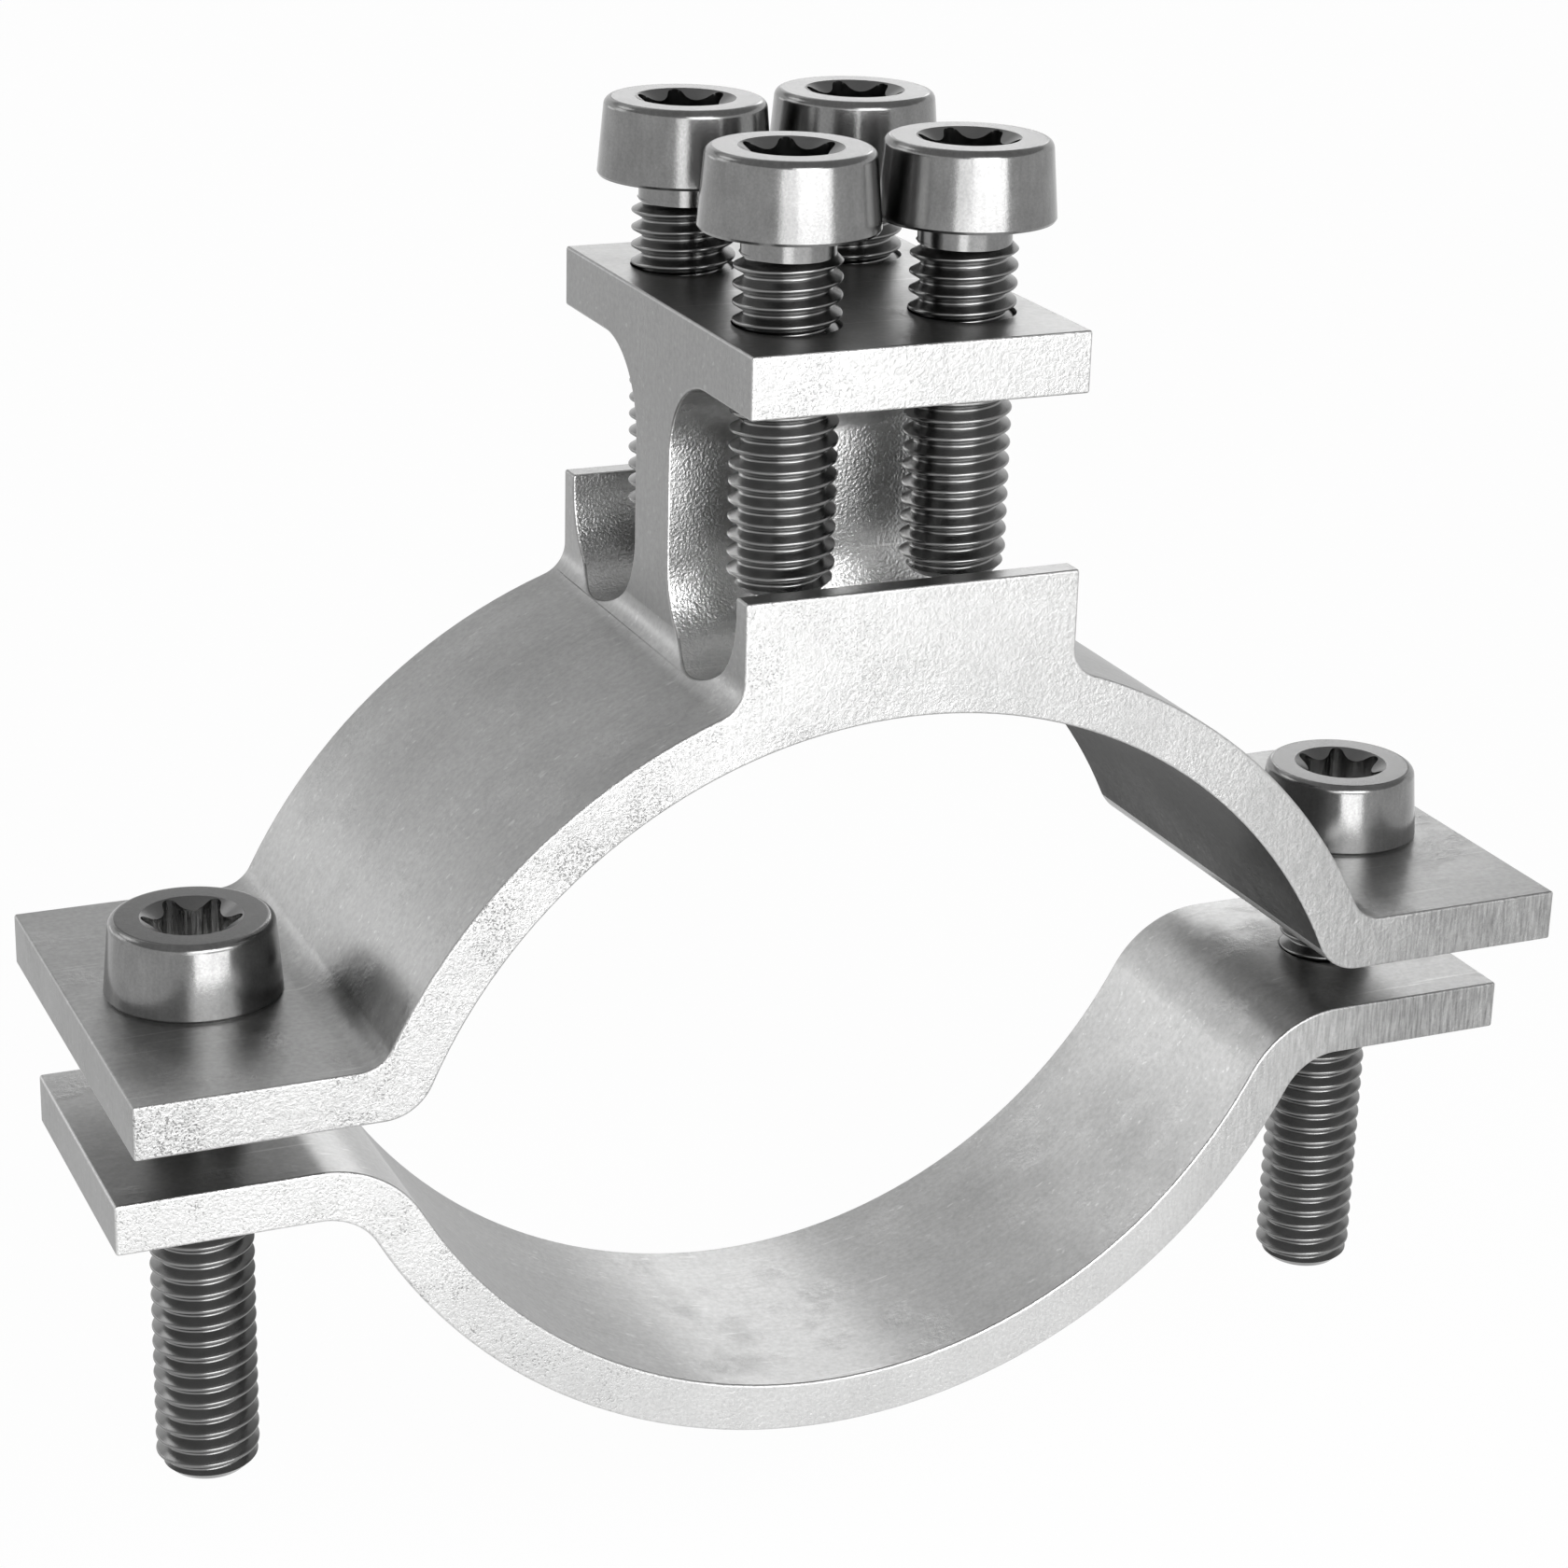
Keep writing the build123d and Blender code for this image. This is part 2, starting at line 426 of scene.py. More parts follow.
def makeSkin(name, grey, wrinkled=1.0, hammered=0.0):
    # drawn and bent metal: faint lines round the bend, soft clouds, a few wrinkled places
    f = skinFinish
    roughness = f["channelRoughness"] if hammered else f["roughness"]
    material, shader, coords = startFinish(name, grey, roughness)
    tree = material.node_tree
    clouds = addGrain(tree, coords, f["cloudsPerMetre"], 3.0)
    lines = addGrain(tree, coords, f["linesPerMetre"], 4.0, f["lineStretch"], harsh=0.65)
    fretting = addGrain(tree, coords, f["frettingPerMetre"], 5.0, harsh=0.65)
    patches = addGrain(tree, coords, f["patchesPerMetre"], 2.0)
    patches = spread(tree, patches, *f["patchRange"], *wholeRange)
    scratchA, scratchB = [
        addGrain(tree, coords, perMetre, 2.0, f["scratchStretch"], turn)
        for perMetre, turn in zip(f["scratchesPerMetre"], f["scratchTurns"])
    ]
    scratches = combine(tree, "MAXIMUM", scratchA, scratchB)
    scratches = spread(tree, scratches, *f["scratchRange"], *wholeRange)

    low, high = aboutOne(f["cloudShade"])
    shade = spread(tree, clouds, *noiseRange, grey * low, grey * high)
    ruled = spread(tree, lines, *f["lineRange"], *aboutOne(f["lineShade"]))
    shade = combine(tree, "MULTIPLY", shade, ruled)
    fretted = spread(tree, fretting, *f["frettingRange"], *aboutOne(f["frettingShade"]))
    shade = combine(tree, "MULTIPLY", shade, fretted)
    bright = combine(tree, "MULTIPLY", scratches, grey * f["scratchShade"])
    tint(tree, shader, combine(tree, "ADD", shade, bright))
    glossy, dull = roughness - f["glossier"], roughness + f["duller"]
    gloss = spread(tree, clouds, *noiseRange, glossy, dull)
    tree.links.new(gloss, shader.inputs["Roughness"])

    patches = combine(tree, "ADD", patches, f["betweenPatches"])
    relief = combine(tree, "MULTIPLY", fretting, combine(tree, "MULTIPLY", patches, wrinkled))
    ridges = combine(tree, "MULTIPLY", lines, f["lineRelief"])
    relief = combine(tree, "ADD", relief, ridges)
    if hammered:
        # the dents end at a wandering line a little below the plate
        dents = addGrain(tree, coords, f["hammeringPerMetre"], 3.0, harsh=0.5)
        wander = combine(tree, "SUBTRACT", clouds, 0.5)
        wander = combine(tree, "MULTIPLY", wander, f["hammeringWander"])
        height = alongAxis(tree, coords, "Z", *wholeRange, *wholeRange)
        height = combine(tree, "ADD", height, wander)
        top = f["hammeringTop"]
        below = spread(tree, height, top - f["hammeringFade"], top, hammered, 0)
        relief = combine(tree, "ADD", relief, combine(tree, "MULTIPLY", dents, below))
    emboss(tree, shader, relief, f["reliefDepth"])
    return material


def makeCutFace(name, own):
    # a cut face: crumpled here and there, specked in clusters, plainer to the right and darkened
    # there by painted shade
    f = cutFinish
    grey, crumpled = own["grey"], own["crumple"]
    material, shader, coords = startFinish(name, grey, f["roughness"])
    tree = material.node_tree
    clouds = addGrain(tree, coords, f["cloudsPerMetre"], 3.0)
    crumple = addGrain(tree, coords, f["crumplePerMetre"], 5.0, harsh=0.6)
    streaks = addGrain(tree, coords, f["streaksPerMetre"], 4.0, f["streakStretch"])
    rough = addGrain(tree, coords, f["roughPlacesPerMetre"], 2.0)
    between = f["betweenRoughPlaces"] * crumpled
    rough = spread(tree, rough, *f["roughPlaceRange"], between, crumpled)
    clusters = addGrain(tree, coords, f["clustersPerMetre"], 3.0)
    clusters = spread(tree, clusters, *f["clusterRange"], f["betweenClusters"], 1)
    # right grows along X: it darkens the face there as painted shade and strengthens the streaks
    right = alongAxis(tree, coords, "X", *f["paintedShadeFrom"], *wholeRange)
    left = alongAxis(tree, coords, "X", *own["speckedTo"], 1, f["specksRight"])

    # specks lie in the clusters, a few strays lie outside them, and both are fewer on the right
    grain = addGrain(tree, coords, f["specksPerMetre"], 2.0, f["speckStretch"], f["speckTurn"])
    specks = spread(tree, grain, *f["speckRange"], *wholeRange)
    specks = combine(tree, "MULTIPLY", specks, clusters)
    stray = spread(tree, grain, *f["strayRange"], 0, f["strayDepth"])
    specks = combine(tree, "MULTIPLY", combine(tree, "MAXIMUM", specks, stray), left)

    low, high = aboutOne(f["cloudShade"])
    shade = spread(tree, clouds, *noiseRange, grey * low, grey * high)
    uneven = f["crumpleShade"] * (1 + crumpled)
    folds = spread(tree, crumple, *noiseRange, *aboutOne(uneven))
    shade = combine(tree, "MULTIPLY", shade, folds)
    strokes = combine(tree, "SUBTRACT", streaks, 0.5)
    strokes = combine(tree, "MULTIPLY", strokes, f["streakShade"])
    strokes = combine(tree, "MULTIPLY", strokes, combine(tree, "ADD", right, f["streakLeft"]))
    # painted shade: the face grows darker towards the right
    dull = combine(tree, "MULTIPLY", right, -own["dull"])
    change = combine(tree, "ADD", combine(tree, "ADD", strokes, dull), 1)
    shade = combine(tree, "MULTIPLY", shade, change)
    deep = combine(tree, "MULTIPLY", specks, -f["speckDepth"])
    tint(tree, shader, combine(tree, "MULTIPLY", shade, combine(tree, "ADD", deep, 1)))

    pits = combine(tree, "MULTIPLY", specks, f["speckRelief"])
    relief = combine(tree, "MULTIPLY", combine(tree, "SUBTRACT", crumple, pits), rough)
    ridges = combine(tree, "MULTIPLY", streaks, f["streakRelief"])
    emboss(tree, shader, combine(tree, "ADD", relief, ridges), f["reliefDepth"])
    return material


def makeSteel(name, grey, roughness, flecked):
    # turned or rolled steel in soft clouds; a turned face is flecked and faintly streaked too
    f = steelFinish
    material, shader, coords = startFinish(name, grey, roughness)
    tree = material.node_tree
    clouds = addGrain(tree, coords, f["cloudsPerMetre"], 3.0)
    low, high = aboutOne(f["cloudShade"])
    shade = spread(tree, clouds, *noiseRange, grey * low, grey * high)
    glossy, dull = roughness - f["cloudGloss"], roughness + f["cloudGloss"]
    gloss = spread(tree, clouds, *noiseRange, glossy, dull)
    tree.links.new(gloss, shader.inputs["Roughness"])
    if flecked:
        streaks = addGrain(tree, coords, f["streaksPerMetre"], 3.0, f["streakStretch"])
        flecks = addGrain(tree, coords, f["flecksPerMetre"], 3.0, harsh=0.6)
        for grain, share in ((streaks, f["streakShade"]), (flecks, f["fleckShade"])):
            marks = spread(tree, grain, *noiseRange, *aboutOne(share * flecked))
            shade = combine(tree, "MULTIPLY", shade, marks)
        relief = combine(tree, "MULTIPLY", streaks, f["streakRelief"])
        relief = combine(tree, "ADD", relief, flecks)
        emboss(tree, shader, combine(tree, "MULTIPLY", relief, flecked), f["reliefDepth"])
    tint(tree, shader, shade)
    return material


# Saddle

saddleSizes = {
    "seatRadius": 30.4,
    "rise": 22.0,
    "wall": 3.1,
    "underBend": 3.0,
    "topBend": 2.1,
    "blockLength": 20.0,
    "footFillet": 2.0,
    "webThickness": 5.0,
    "channelRadius": 5.0,
    "channelFloor": 23.5,
    "lipTop": 29.5,
    "plateUnderside": 39.5,
    "plateFillet": 5.0,
    "screwSpacing": 10.5,
    "tappedRadius": 3.03,
    "earHoleRadius": 3.3,
    "edgeRound": 0.16,
    "arcStep": 2.0,
    "channelArcStep": 3.0,
    "smoothAngle": 40.0,
}


def makeSaddle():
    s = saddleSizes
    low, high = nodeBox("saddle")
    side, earEnd, earFace, blockTop = high.y, high.x, low.z, high.z
    screwX = nodeAxis("clamp_screw_right")[0]
    earTop = earFace + s["wall"]
    inner = s["seatRadius"]
    outer = inner + s["wall"]
    seat = (0.0, s["rise"] - inner)
    blockHalf = s["blockLength"] / 2
    underZ, topZ = earFace + s["underBend"], earTop + s["topBend"]
    under = (reach(inner + s["underBend"], underZ - seat[1]), underZ)
    top = (reach(outer + s["topBend"], topZ - seat[1]), topZ)
    footX = blockHalf + s["footFillet"]
    foot = (footX, seat[1] + reach(outer + s["footFillet"], footX))

    # right half of the front outline, from the crown of the seat round the ear to the block
    moves = [
        (touch(seat, under, inner), seat),
        ((under[0], earFace), under),
        ((earEnd, earFace), None),
        ((earEnd, earTop), None),
        ((top[0], earTop), None),
        (touch(seat, top, outer), top),
        (touch(seat, foot, outer), seat),
        ((blockHalf, foot[1]), foot),
        ((blockHalf, blockTop), None),
        ((0.0, blockTop), None),
        ((0.0, s["rise"]), None),
    ]
    place = lambda x, z: Vector((x, -side, z))
    piece = drawOutline("saddle_body", place, (0.0, s["rise"]), moves, (0, 1, 0), s["arcStep"])
    raiseOutline((0, 2 * side, 0))
    mirrorHalf(piece)

    # a channel on each side of the web, run out sideways over its lip
    web = s["webThickness"] / 2
    middle = web + s["channelRadius"]
    lipFace = middle + s["channelRadius"]
    axis = s["channelFloor"] + s["channelRadius"]
    ceiling, corner = s["plateUnderside"], s["plateFillet"]
    for way in (-1, 1):
        moves = [
            ((way * web, axis), None),
            ((way * middle, s["channelFloor"]), (way * middle, axis)),
            ((way * lipFace, axis), (way * middle, axis)),
            ((way * lipFace, s["lipTop"]), None),
            ((way * 2 * side, s["lipTop"]), None),
            ((way * 2 * side, ceiling), None),
            ((way * (web + corner), ceiling), None),
            ((way * web, ceiling - corner), (way * (web + corner), ceiling - corner)),
        ]
        place = lambda y, z: Vector((-earEnd, y, z))
        start = (way * web, ceiling - corner)
        channel = drawOutline("channel", place, start, moves, (1, 0, 0), s["channelArcStep"])
        raiseOutline((2 * earEnd, 0, 0))
        cutWith(piece, channel)

    breakEdges(piece, s["edgeRound"])

    # tapped holes in the plate and plain holes in the ears
    half = s["screwSpacing"] / 2
    beyond = benchValues["drillBeyond"]
    for x in (-half, half):
        for y in (-middle, middle):
            drill = addDrill(s["tappedRadius"], x, y, ceiling - corner, blockTop + beyond)
            cutWith(piece, drill)
    for x in (-screwX, screwX):
        drill = addDrill(s["earHoleRadius"], x, 0, earFace - beyond, earTop + beyond)
        cutWith(piece, drill)
    return piece


# Strap

strapSizes = {
    "seatRadius": 30.4,
    "wall": 3.0,
    "bend": 3.8,
    "tappedRadius": 3.03,
    "edgeRound": 0.16,
    "arcStep": 2.0,
    "smoothAngle": 40.0,
}


def makeStrap():
    s = strapSizes
    low, high = nodeBox("strap")
    side, earEnd, earFace = high.y, high.x, high.z
    screwX = nodeAxis("clamp_screw_right")[0]
    earBase = earFace - s["wall"]
    inner = s["seatRadius"]
    outer = inner + s["wall"]
    seat = (0.0, low.z + outer)
    bendZ = earBase - s["bend"]
    bend = (reach(outer + s["bend"], bendZ - seat[1]), bendZ)

    # right half of the front outline, from the lowest place of the seat out to the ear
    moves = [
        (touch(seat, bend, inner), seat),
        ((bend[0], earFace), bend),
        ((earEnd, earFace), None),
        ((earEnd, earBase), None),
        ((bend[0], earBase), None),
        (touch(seat, bend, outer), bend),
        ((0.0, low.z), seat),
        ((0.0, low.z + s["wall"]), None),
    ]
    place = lambda x, z: Vector((x, -side, z))
    start = (0.0, low.z + s["wall"])
    piece = drawOutline("strap_band", place, start, moves, (0, 1, 0), s["arcStep"])
    raiseOutline((0, 2 * side, 0))
    mirrorHalf(piece)
    breakEdges(piece, s["edgeRound"])
    beyond = benchValues["drillBeyond"]
    for x in (-screwX, screwX):
        cutWith(piece, addDrill(s["tappedRadius"], x, 0, earBase - beyond, earFace + beyond))
    return piece


# Screws

screwSizes = {
    "majorRadius": 3.0,
    "pitch": 1.0,
    "threadAngle": 60.0,
    "crestRound": 0.13,
    "rootRound": 0.123,
    "runOut": 0.5,
    "neckRadius": 2.61,
    "neckLength": 1.2,
    "neckRound": 0.12,
    "neckOverlap": 0.2,
    "tipChamfer": 0.7,
    "tipSpare": 0.01,
    "blankSpare": 0.05,
    "headRadius": 5.0,
    "headHeight": 4.4,
    "headTaper": 5.0,
    "topRound": 0.5,
    "footIn": 0.1,
    "footUp": 0.16,
    "socketRadius": 2.8,
    "lobeDepth": 0.82,
    "lobeRadius": 0.45,
    "lobes": 6,
    "socketDepth": 2.6,
    "mouthRadius": 2.88,
    "mouthAngle": 120.0,
    "coneLean": 0.3,  # the mouth's cone looks up by more than this
    "threadSteps": 72,
    "headSteps": 96,
    "threadArcStep": 20.0,
    "blankArcStep": 30.0,
    "headArcStep": 14.0,
    "socketArcStep": 15.0,
    "smoothAngle": 29.0,
}

socketTurns = {  # how far each screw's socket stands turned, in degrees
    "clamp_screw_left": 45.0,
    "clamp_screw_right": 4.0,
    "conductor_screw_front_left": 13.0,
    "conductor_screw_front_right": 28.0,
    "conductor_screw_rear_left": 22.0,
    "conductor_screw_rear_right": 27.0,
}


def makeShank(length):
    # one pitch of the thread is drawn and wound up the shank, its ends cut flat
    s = screwSizes
    pitch, crest, root = s["pitch"], s["crestRound"], s["rootRound"]
    half = math.radians(s["threadAngle"] / 2)
    apex = s["majorRadius"] + crest
    valley = apex - pitch / (2 * math.tan(half))
    crestAt, rootAt = apex - 2 * crest, valley + 2 * root
    crestX, crestZ = crestAt + crest * math.sin(half), crest * math.cos(half)
    rootX, rootZ = rootAt - root * math.sin(half), root * math.cos(half)
    bottom = -length - pitch
    moves = [
        ((rootX, bottom + rootZ), (rootAt, bottom)),
        ((crestX, bottom + pitch / 2 - crestZ), None),
        ((crestAt + crest, bottom + pitch / 2), (crestAt, bottom + pitch / 2)),
        ((crestX, bottom + pitch / 2 + crestZ), (crestAt, bottom + pitch / 2)),
        ((rootX, bottom + pitch - rootZ), None),
        ((valley + root, bottom + pitch), (rootAt, bottom + pitch)),
    ]
    place = lambda x, z: Vector((x, 0, z))
    start = (valley + root, bottom)
    shank = drawOutline("shank", place, start, moves, (0, 1, 0), s["threadArcStep"])
    bpy.ops.object.mode_set(mode="OBJECT")
    winding = shank.modifiers.new("winding", "SCREW")
    winding.axis = "Z"
    winding.angle = 2 * math.pi
    winding.screw_offset = pitch
    winding.iterations = math.ceil(length) + 2
    winding.steps = s["threadSteps"]
    winding.render_steps = s["threadSteps"]
    winding.use_merge_vertices = False
    bpy.ops.object.modifier_apply(modifier=winding.name)
    bpy.ops.object.mode_set(mode="EDIT")
    bpy.ops.mesh.select_mode(type="VERT")
    bpy.ops.mesh.select_all(action="SELECT")
    bpy.ops.mesh.remove_doubles(threshold=benchValues["mergeWithin"])
    neck, spare = -s["neckLength"], s["blankSpare"]
    for height, upward in ((-length, False), (neck + 2 * spare, True)):
        bpy.ops.mesh.select_all(action="SELECT")
        bpy.ops.mesh.bisect(
            plane_co=(0, 0, height),
            plane_no=(0, 0, 1),
            use_fill=True,
            clear_outer=upward,
            clear_inner=not upward,
        )
    bpy.ops.mesh.select_all(action="SELECT")
    bpy.ops.mesh.normals_make_consistent(inside=False)
    bpy.ops.object.mode_set(mode="OBJECT")

    # a turned blank takes the tip's chamfer and the run-out under the neck off the thread,
    # and stands a little out of it elsewhere
    wide = s["majorRadius"] + spare
    tip = s["majorRadius"] - s["tipChamfer"]
    start = (0, -length - s["tipSpare"])
    moves = [
        ((tip, start[1]), None),
        ((wide, -length + wide - tip), None),
        ((wide, neck - s["runOut"]), None),
        ((s["neckRadius"] - 2 * spare, neck + spare), None),
        ((0, neck + spare), None),
    ]
    blank = drawOutline("blank", place, start, moves, (0, 1, 0), s["blankArcStep"])
    turnOutline(s["headSteps"])
    cutWith(shank, blank, "INTERSECT")
    return shank


def makeHead():
    # the turned head and neck, its rounded edges and the wide mouth of its socket in the outline
    s = screwSizes
    radius, height = s["headRadius"], s["headHeight"]
    slope = math.radians(s["headTaper"])
    topRound, neckRound = s["topRound"], s["neckRound"]
    neck = s["neckRadius"]
    lean = radius - height * math.tan(slope)
    mouthDepth = s["mouthRadius"] / math.tan(math.radians(s["mouthAngle"] / 2))
    # the top round's centre lies a radius in from the top and from the leaning side
    turn = (lean - topRound / math.cos(slope) + topRound * math.tan(slope), height - topRound)
    sideTop = (turn[0] + topRound * math.cos(slope), turn[1] + topRound * math.sin(slope))
    start = (0, -s["neckLength"] - s["neckOverlap"])
    moves = [
        ((neck, start[1]), None),
        ((neck, -neckRound), None),
        ((neck + neckRound, 0), (neck + neckRound, -neckRound)),
        ((radius - s["footIn"], 0), None),
        ((radius - s["footUp"] * math.tan(slope), s["footUp"]), None),
        (sideTop, None),
        ((turn[0], height), turn),
        ((s["mouthRadius"], height), None),
        ((0, height - mouthDepth), None),
    ]
    place = lambda x, z: Vector((x, 0, z))
    head = drawOutline("head", place, start, moves, (0, 1, 0), s["headArcStep"])
    turnOutline(s["headSteps"])

    # six-lobe socket: lobes and the tongues between them touch where their arcs meet
    step = 2 * math.pi / s["lobes"]
    lobeRadius = s["lobeRadius"]
    lobeAt = s["socketRadius"] - lobeRadius
    inner = s["socketRadius"] - s["lobeDepth"]
    along = lobeAt * math.cos(step / 2)
    tongueRadius = (lobeAt**2 + inner**2 - 2 * inner * along - lobeRadius**2) / (
        2 * (lobeRadius + along - inner)
    )
    tongueAt = inner + tongueRadius

    def polar(distance, angle):
        return (distance * math.cos(angle), distance * math.sin(angle))

    tongue = Vector(polar(tongueAt, step / 2))
    halfLobe = math.atan2(tongue.y, tongue.x - lobeAt)
    meet = Vector((lobeAt, 0)) + lobeRadius * Vector(polar(1, halfLobe))
    meetAngle, meetAt = math.atan2(meet.y, meet.x), meet.length
    moves = []
    for lobe in range(s["lobes"]):
        angle = lobe * step
        lobeCentre = polar(lobeAt, angle)
        tongueCentre = polar(tongueAt, angle + step / 2)
        moves.append((polar(s["socketRadius"], angle), lobeCentre))
        moves.append((polar(meetAt, angle + meetAngle), lobeCentre))
        moves.append((polar(inner, angle + step / 2), tongueCentre))
        moves.append((polar(meetAt, angle + step - meetAngle), tongueCentre))
    place = lambda x, y: Vector((x, y, height - s["socketDepth"]))
    start = polar(meetAt, -meetAngle)
    socket = drawOutline("socket", place, start, moves, (0, 0, 1), s["socketArcStep"])
    raiseOutline((0, 0, s["socketDepth"] + benchValues["drillBeyond"]))
    cutWith(head, socket)
    return head


def makeScrew(name, axis, seat, length, headModel, shankModels):
    # a turned copy of the head is joined to a copy of the shank of its length
    key = round(length, 1)
    if key not in shankModels:
        shankModels[key] = makeShank(length)
    parts = []
    for model, turn in ((headModel, socketTurns[name]), (shankModels[key], 0.0)):
        makeActive(model)
        bpy.ops.object.duplicate(linked=False)
        part = bpy.context.object
        part.rotation_euler.z = math.radians(turn)
        part.location = (*axis, seat)
        bpy.ops.object.transform_apply(location=True, rotation=True, scale=True)
        parts.append(part)
    screw, shank = parts
    screw.name = screw.data.name = name + "_dressed"
    cutWith(screw, shank, "UNION")
    return screw


# Every piece is made, gets its finishes and takes its CAD node's place

plateFinishes = {
    "skin": makeSkin("saddle skin", skinFinish["saddleGrey"]),
    # painted shade: the ends are the skin painted darker
    "ear end": makeSkin("saddle end with painted shade", skinFinish["saddleEndPaintedShadeGrey"]),
    "block end": makeSkin("block end", skinFinish["blockEndPaintedShadeGrey"]),
    # painted light: the channel is the skin painted lighter
    "channel": makeSkin(
        "hammered channel with painted light", skinFinish["channelPaintedLightGrey"], 1.0, skinFinish["hammeringShare"]
    ),
    # painted shade: the bore is the skin painted dark
    "bore": makeSkin("bore with painted shade", skinFinish["borePaintedShadeGrey"]),
    "cut face": makeCutFace("saddle cut face", cutFinish["saddle"]),
}
bandFinishes = {
    "skin": makeSkin("strap skin", skinFinish["strapGrey"], skinFinish["strapWrinkles"]),
    "seat": makeSkin("strap seat", skinFinish["seatGrey"], skinFinish["strapWrinkles"]),
    # painted shade: the strap's ends are its skin painted darker
    "ear end": makeSkin("strap end with painted shade", skinFinish["strapEndPaintedShadeGrey"]),
    "cut face": makeCutFace("strap cut face", cutFinish["strap"]),
}
for material, edge in (
    (plateFinishes["bore"], skinFinish["borePaintedShadeEdge"]),
    (bandFinishes["seat"], skinFinish["seatEdge"]),
):
    # the two faces towards the pipe shine less where they are seen at a low angle; on the bore
    # this adds to its painted shade
    shader = material.node_tree.nodes["Principled BSDF"]
    shader.inputs["Specular Tint"].default_value = (edge, edge, edge, 1)
steelFinishes = {
    part: makeSteel(name, steelFinish[part + "Grey"], steelFinish[part + "Roughness"], flecked)
    for part, name, flecked in (
        ("side", "head steel", 1.0),
        # painted shade: the heads' tops are painted darker
        ("top", "head top steel with painted shade", 1.0),
        ("thread", "thread steel", 0.0),
        # painted light: the socket is painted lighter
        ("socket", "socket steel with painted light", 0.0),
        ("mouth", "mouth steel", 0.4),
    )
}

saddleSide = nodeBox("saddle")[1].y
strapSide = nodeBox("strap")[1].y
strapSeat = nodeBox("strap")[0].z + strapSizes["seatRadius"] + strapSizes["wall"]
onArc = 0.01  # the middle of a face of an arc lies at least so near to it
onFace = 0.1


def chooseForSaddle(face):
    # the channels lie inside the lips and the block's ends, and the lips' ends are plain skin
    x, y, z = abs(face.center.x), abs(face.center.y), face.center.z
    s = saddleSizes
    seat = s["seatRadius"]
    lipFace = s["webThickness"] / 2 + 2 * s["channelRadius"]
    if y > saddleSide - s["edgeRound"] / 2:
        return "cut face"
    inBlock = x < (s["blockLength"] - s["edgeRound"]) / 2 and y < lipFace + onFace
    if inBlock and s["channelFloor"] - onFace < z < s["plateUnderside"] + onFace:
        return "channel"
    if math.hypot(x, z - s["rise"] + seat) < seat + onArc:
        return "bore"
    if abs(face.normal.x) > squareOn and z < s["rise"] / 2:
        return "ear end"
    return "block end" if abs(face.normal.x) > squareOn and z > s["lipTop"] else "skin"


def chooseForStrap(face):
    x, y, z = face.center
    s = strapSizes
    if abs(y) > strapSide - s["edgeRound"] / 2:
        return "cut face"
    if math.hypot(x, z - strapSeat) < s["seatRadius"] + onArc:
        return "seat"
    return "ear end" if abs(face.normal.x) > squareOn else "skin"


def chooseForScrew(face, axis, seat):
    # inside the mouth's rim, only the cone of the mouth itself leans
    x, y, z = face.center
    s = screwSizes
    lean = face.normal.z
    if z < seat - s["neckLength"]:
        return "thread"
    if math.hypot(x - axis[0], y - axis[1]) < s["mouthRadius"] and z > seat:
        return "mouth" if s["coneLean"] < lean < squareOn else "socket"
    return "top" if lean > squareOn else "side"


for maker, sizes, node, finishes, choose in (
    (makeSaddle, saddleSizes, "saddle", plateFinishes, chooseForSaddle),
    (makeStrap, strapSizes, "strap", bandFinishes, chooseForStrap),
):
    piece = maker()
    wearFaces(piece, finishes, choose)
    smoothFaces(piece, sizes["smoothAngle"])
    finishPiece(piece, node)

headModel = makeHead()
shankModels = {}
for node in socketTurns:
    low, high = nodeBox(node)
    axis = nodeAxis(node)
    seat = high.z - screwSizes["headHeight"]
    screw = makeScrew(node, axis, seat, seat - low.z, headModel, shankModels)
    wearFaces(screw, steelFinishes, lambda face: chooseForScrew(face, axis, seat))
    smoothFaces(screw, screwSizes["smoothAngle"])
    finishPiece(screw, node)
for model in (headModel, *shankModels.values()):
    bpy.data.objects.remove(model)
print("stage: pieces made")


# Studio

studioSizes = {
    "floorDrop": 0.0175,  # below the clamp, so that the strap at its lowest stays above the floor
    "floorRadius": 1.3,
    "sweepRadius": 0.3,
    "wallHeight": 0.55,
    "sweepSteps": 96,
    "sweepArcStep": 10.0,
    "sweepGrey": 0.95,
    "glowShare": 0.96,  # of the white that the camera and the metal see there
    "airGrey": 0.42,
}


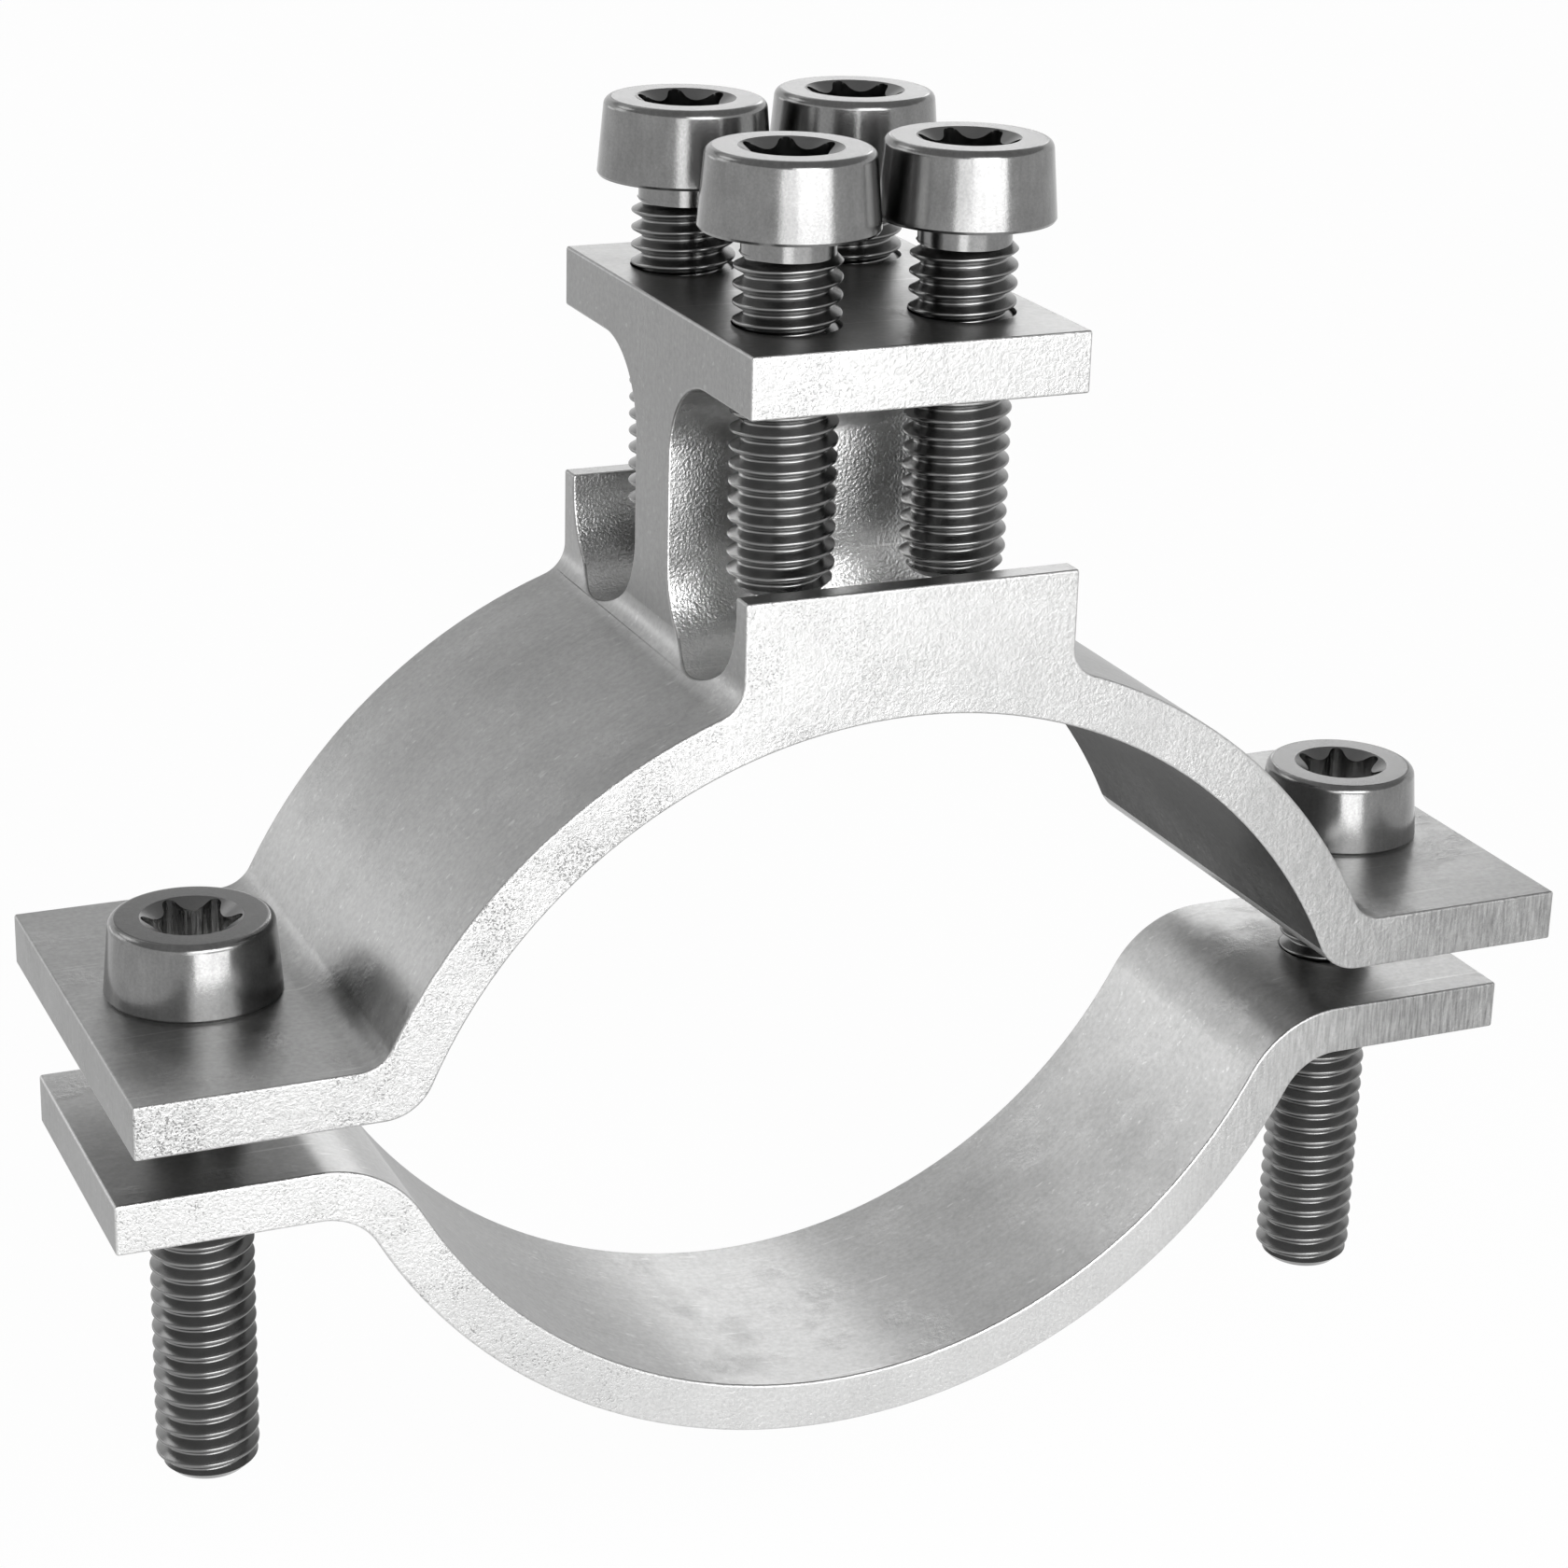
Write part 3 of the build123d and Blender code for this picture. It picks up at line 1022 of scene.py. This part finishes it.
def makeSweep():
    # a round floor that sweeps up into a low wall all round
    s = studioSizes
    floorZ = cadBox[0][2] - s["floorDrop"]
    wide = s["floorRadius"] + s["sweepRadius"]
    rise = floorZ + s["sweepRadius"]
    moves = [
        ((s["floorRadius"], floorZ), None),
        ((wide, rise), (s["floorRadius"], rise)),
        ((wide, rise + s["wallHeight"]), None),
    ]
    place = lambda x, z: Vector((x, 0, z))
    sweep = drawOutline("sweep", place, (0, floorZ), moves, (0, 1, 0), s["sweepArcStep"])
    turnOutline(s["sweepSteps"])
    makeActive(sweep)
    bpy.ops.object.shade_smooth()

    # it looks nearly white, while its own light on the clamp stays that of a lit pale floor
    material = bpy.data.materials.new("pale sweep")
    material.use_nodes = True
    tree = material.node_tree
    diffuse = tree.nodes["Principled BSDF"]
    diffuse.inputs["Base Color"].default_value = [s["sweepGrey"]] * 3 + [1]
    diffuse.inputs["Roughness"].default_value = 1.0
    glow = tree.nodes.new("ShaderNodeEmission")
    glow.inputs["Strength"].default_value = 1.0
    rays = tree.nodes.new("ShaderNodeLightPath").outputs
    seen = combine(tree, "MAXIMUM", rays["Is Camera Ray"], rays["Is Glossy Ray"])
    seen = combine(tree, "MAXIMUM", seen, rays["Is Transmission Ray"])
    mix = tree.nodes.new("ShaderNodeMixShader")
    tree.links.new(combine(tree, "MULTIPLY", seen, s["glowShare"]), mix.inputs[0])
    tree.links.new(diffuse.outputs[0], mix.inputs[1])
    tree.links.new(glow.outputs[0], mix.inputs[2])
    tree.links.new(mix.outputs[0], tree.nodes["Material Output"].inputs["Surface"])
    sweep.data.materials.append(material)


def addSoftbox(name, place, aim, width, height, brightness):
    # a soft rectangular lamp; a brightness of 1 shows as white in a mirror
    data = bpy.data.lights.new(name, "AREA")
    data.shape = "RECTANGLE"
    data.size, data.size_y = width, height
    data.energy = brightness * math.pi * width * height
    lamp = bpy.data.objects.new(name, data)
    bpy.context.scene.collection.objects.link(lamp)
    lamp.location = place
    lamp.rotation_euler = (Vector(aim) - Vector(place)).to_track_quat("-Z", "Y").to_euler()
    lamp.visible_camera = False


def around(azimuth, elevation, distance):
    # azimuth 0 is in front of the clamp, 90 to its right and 180 behind it
    a, e = math.radians(azimuth), math.radians(elevation)
    flat = distance * math.cos(e)
    return (flat * math.sin(a), -flat * math.cos(a), distance * math.sin(e))


softboxes = {  # place, aim, width, height and brightness
    "key top": ((0.012, -0.111, 0.07), (0.012, 0, 0.07), 0.085, 0.06, 4.4),
    "key middle": ((0.012, -0.111, 0.0185), (0.012, 0, 0.0185), 0.085, 0.043, 0.6),
    "key corner": ((0.04, -0.111, 0.0025), (0.04, 0, 0.0025), 0.03, 0.011, 3.5),
    "key foot": ((-0.009, -0.111, -0.0135), (-0.009, 0, -0.0135), 0.106, 0.021, 4.4),
    "key left": ((-0.055, -0.111, 0.0405), (-0.055, 0, 0.0405), 0.05, 0.087, 2.5),
    "front window": (around(0, 30, 0.7), (0, 0, 0.01), 0.4, 0.25, 4.0),
    "back right": (around(147, 20, 1.0), (0, 0, 0), 0.174, 0.125, 2.7),
    "back right low": (around(157, 13, 1.0), (0, 0, 0), 0.174, 0.125, 1.4),
    "back right high": (around(157, 28, 1.0), (0, 0, 0), 0.174, 0.125, 2.9),
    "back left low": (around(-150, 6, 1.0), (0, 0, 0), 0.35, 0.17, 1.0),
    "back left": (around(-130, 20, 0.9), (0, 0, 0), 0.3, 0.3, 1.1),
    "back left high": (around(-140, 40, 0.9), (0, 0, 0), 0.35, 0.25, 1.6),
    "back high": (around(180, 42, 1.0), (0, 0, 0), 0.9, 0.22, 0.5),
}

cameraValues = {
    "place": (-0.08439621, -0.18724410, 0.08993784),
    "aim": (-0.00007614, 0.0, 0.01480394),
    "roll": 1.68871,
    "lens": 85.415,
    "filmWidth": 36.0,
    "shift": (-0.012957, -0.016779),
    "nearest": 0.01,
    "farthest": 20.0,
}


def makeCamera():
    # stands and looks as the photograph's camera did
    c = cameraValues
    data = bpy.data.cameras.new("camera")
    data.sensor_width = c["filmWidth"]
    data.lens = c["lens"]
    data.shift_x, data.shift_y = c["shift"]
    data.clip_start, data.clip_end = c["nearest"], c["farthest"]
    camera = bpy.data.objects.new("camera", data)
    bpy.context.scene.collection.objects.link(camera)
    camera.location = c["place"]
    look = (Vector(c["aim"]) - camera.location).to_track_quat("-Z", "Y")
    roll = Quaternion((0, 0, 1), math.radians(c["roll"]))
    camera.rotation_euler = (look @ roll).to_euler()
    bpy.context.scene.camera = camera


def makeAir():
    # a plain grey world, which lights what the lamps leave dark
    air = bpy.data.worlds.new("studio air")
    air.use_nodes = True
    background = air.node_tree.nodes["Background"]
    background.inputs["Color"].default_value = [studioSizes["airGrey"]] * 3 + [1]
    bpy.context.scene.world = air


makeSweep()
for name, (place, aim, width, height, brightness) in softboxes.items():
    addSoftbox(name, place, aim, width, height, brightness)
makeCamera()
makeAir()
bpy.context.scene.view_settings.view_transform = "Standard"
print("stage: studio set")
